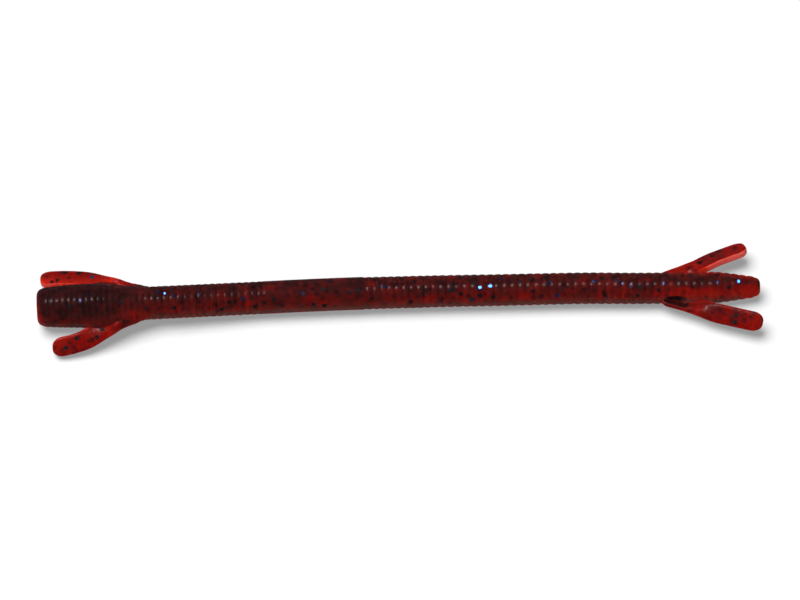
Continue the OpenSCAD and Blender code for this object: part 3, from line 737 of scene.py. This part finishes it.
for (body, base, base_reach, reach), start, end in zip(sleeves, cuts, cuts[1:]):
    low, high = start + FLAKE_D, end - FLAKE_D
    arc = [math.radians(degrees) * REAR_D / 2 for degrees in (HIDDEN_FROM_DEG, HIDDEN_TO_DEG)]
    hidden = [(x, math.degrees(along_arc / (REAR_D / 2)), toss.uniform(0, MOST_VEILED))
              for x, along_arc in scatter(round((high - low) / HIDDEN_GAP_MM), (low, high), arc)]
    shown = {"blue": BLUE_ON_BODY,
             "black": [(x, degrees, toss.uniform(0, MOST_VEILED)) for x, degrees in BLACK_ON_BODY]}
    unseen = {"blue": hidden[::HIDDEN_PER_BLUE],
              "black": [place for k, place in enumerate(hidden) if k % HIDDEN_PER_BLUE]}
    for colour in ("black", "blue"):
        places = [(min(high, max(low, x)), degrees, veiled)
                  for x, degrees, veiled in shown[colour] if start <= x < end]
        places += unseen[colour]
        skins = [(veiled, toss.uniform(*FLAKE_SIZES), body_skin(x, degrees)) for x, degrees, veiled in places]
        if colour == "blue":
            skins += [(0, size, tilted_skin(x, degrees))
                      for x, degrees, size in BRIGHT_ON_BODY if start <= x < end]
        piece = flakes(f"glitter_{colour}_{body}", skins, colour)
        follow(piece, body, base)
        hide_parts(f"{colour}_flakes_{body}")

for arm, a in arms.items():
    under = scatter(UNDER_FLAKES, (UNDER_FROM_S, a["length"] - UNDER_TIP_GAP), (-UNDER_HALF_W, UNDER_HALF_W))
    for colour, upper_places, under_places in (("black", BLACK_ON_BLADES[arm], under[1:]),
                                               ("blue", BLUE_ON_BLADES[arm], under[:1])):
        faced = [(s, out, 1) for s, out in upper_places] + [(s, out, -1) for s, out in under_places]
        places = [(BLADE_VEILED, toss.uniform(*FLAKE_SIZES), blade_skin(arm, s, out, face))
                  for s, out, face in faced]
        piece = flakes(f"glitter_{colour}_{arm}_blade", places, colour)
        start, stop = (place_arm(arm, arm_centre(arm, s)) * MM for s in BLADE_BEND_S)
        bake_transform(piece)
        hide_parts(f"{colour}_flakes_{arm}_blade")

# The stage: a sheet of white paper, a soft lamp high up behind the worm on its head side, and a dim room.
# What the camera sees of the paper is lifted a little, so that the shadow stays as pale as a soft studio
# shadow is, and what it sees of the room is white.
PAPER_HALF, PAPER_LIFT, ROOM_LIGHT = 2, 0.2, 0.1
floor_mesh = bpy.data.meshes.new("floor")
corners = [(PAPER_HALF * x, PAPER_HALF * y, 0) for x, y in ((-1, -1), (1, -1), (1, 1), (-1, 1))]
floor_mesh.from_pydata(corners, [], [(0, 1, 2, 3)])
floor = bpy.data.objects.new("floor", floor_mesh)
bpy.context.scene.collection.objects.link(floor)
floor.visible_glossy = False
paper = bpy.data.materials.new("white_paper")
paper.use_nodes = True
tree = paper.node_tree
matte = tree.nodes["Principled BSDF"]
matte.inputs["Base Color"].default_value = linear("#fdfdfd")
matte.inputs["Roughness"].default_value = 1.0
matte.inputs["Specular IOR Level"].default_value = 0.0
white = add(tree, "ShaderNodeEmission")
rays = add(tree, "ShaderNodeLightPath")
lifted = add(tree, "ShaderNodeMath", {"operation": "MULTIPLY"}, {1: PAPER_LIFT},
             i0=rays.outputs["Is Camera Ray"])
mixed = add(tree, "ShaderNodeMixShader", i0=lifted.outputs[0], i1=matte.outputs[0], i2=white.outputs[0])
tree.links.new(tree.nodes["Material Output"].inputs["Surface"], mixed.outputs[0])
floor_mesh.materials.append(paper)

world = bpy.data.worlds.new("room")
bpy.context.scene.world = world
world.use_nodes = True
tree = world.node_tree
walls = tree.nodes["Background"]
walls.inputs["Color"].default_value = (1, 1, 1, 1)
rays = add(tree, "ShaderNodeLightPath")
bright = add(tree, "ShaderNodeMapRange", None, {"To Min": ROOM_LIGHT, "To Max": 1.0},
             Value=rays.outputs["Is Camera Ray"])
tree.links.new(walls.inputs["Strength"], bright.outputs[0])

# The big lamp gives the light and the soft shadow, the small one beside it the sharp glints. Each has its
# strength, the angle it fills in degrees, the way its light goes, and whether it shows in glints or not.
for name, energy, spread_deg, way, in_gloss in (("softbox", 3.15, 44, (0.3, -0.12, -0.95), False),
                                                ("spark", 1.2, 8, (0.3, -0.08, -0.93), True)):
    lamp = bpy.data.lights.new(name, "SUN")
    lamp.energy = energy
    lamp.angle = math.radians(spread_deg)
    stand = bpy.data.objects.new(name, lamp)
    stand.rotation_euler = Vector(way).to_track_quat("-Z", "Y").to_euler()
    stand.visible_glossy = in_gloss
    stand.visible_diffuse = not in_gloss
    bpy.context.scene.collection.objects.link(stand)

# The camera stands far off, so that the near side looks hardly larger than the far one. Its aim is in mm: the
# height of the worm's middle, and how far to the right of it and below it the picture's middle lies.
CAMERA_AZIMUTH, CAMERA_ELEVATION = math.radians(1.92), math.radians(60)
CAMERA_AWAY, SENSOR_MM = 1.2, 36
AIM_UP, AIM_RIGHT, AIM_BELOW = 3.0, 0.193, 0.367
PICTURE_WIDTH_PX, MM_PER_PX = 800, 0.1931
VIEW_WIDTH = MM_PER_PX * PICTURE_WIDTH_PX * MM
toward = Vector((-math.sin(CAMERA_AZIMUTH) * math.cos(CAMERA_ELEVATION),
                 -math.cos(CAMERA_AZIMUTH) * math.cos(CAMERA_ELEVATION), math.sin(CAMERA_ELEVATION)))
camera = bpy.data.objects.new("camera", bpy.data.cameras.new("camera"))
bpy.context.scene.collection.objects.link(camera)
right = Vector((math.cos(CAMERA_AZIMUTH), -math.sin(CAMERA_AZIMUTH), 0))
above = toward.cross(right)
aim = Vector((0, 0, AIM_UP)) * MM + right * AIM_RIGHT * MM - above * AIM_BELOW * MM
camera.location = aim + toward * CAMERA_AWAY
camera.rotation_euler = (-toward).to_track_quat("-Z", "Y").to_euler()
camera.data.sensor_width = SENSOR_MM
camera.data.lens = SENSOR_MM * CAMERA_AWAY / VIEW_WIDTH
bpy.context.scene.camera = camera
bpy.context.scene.view_settings.view_transform = "Standard"
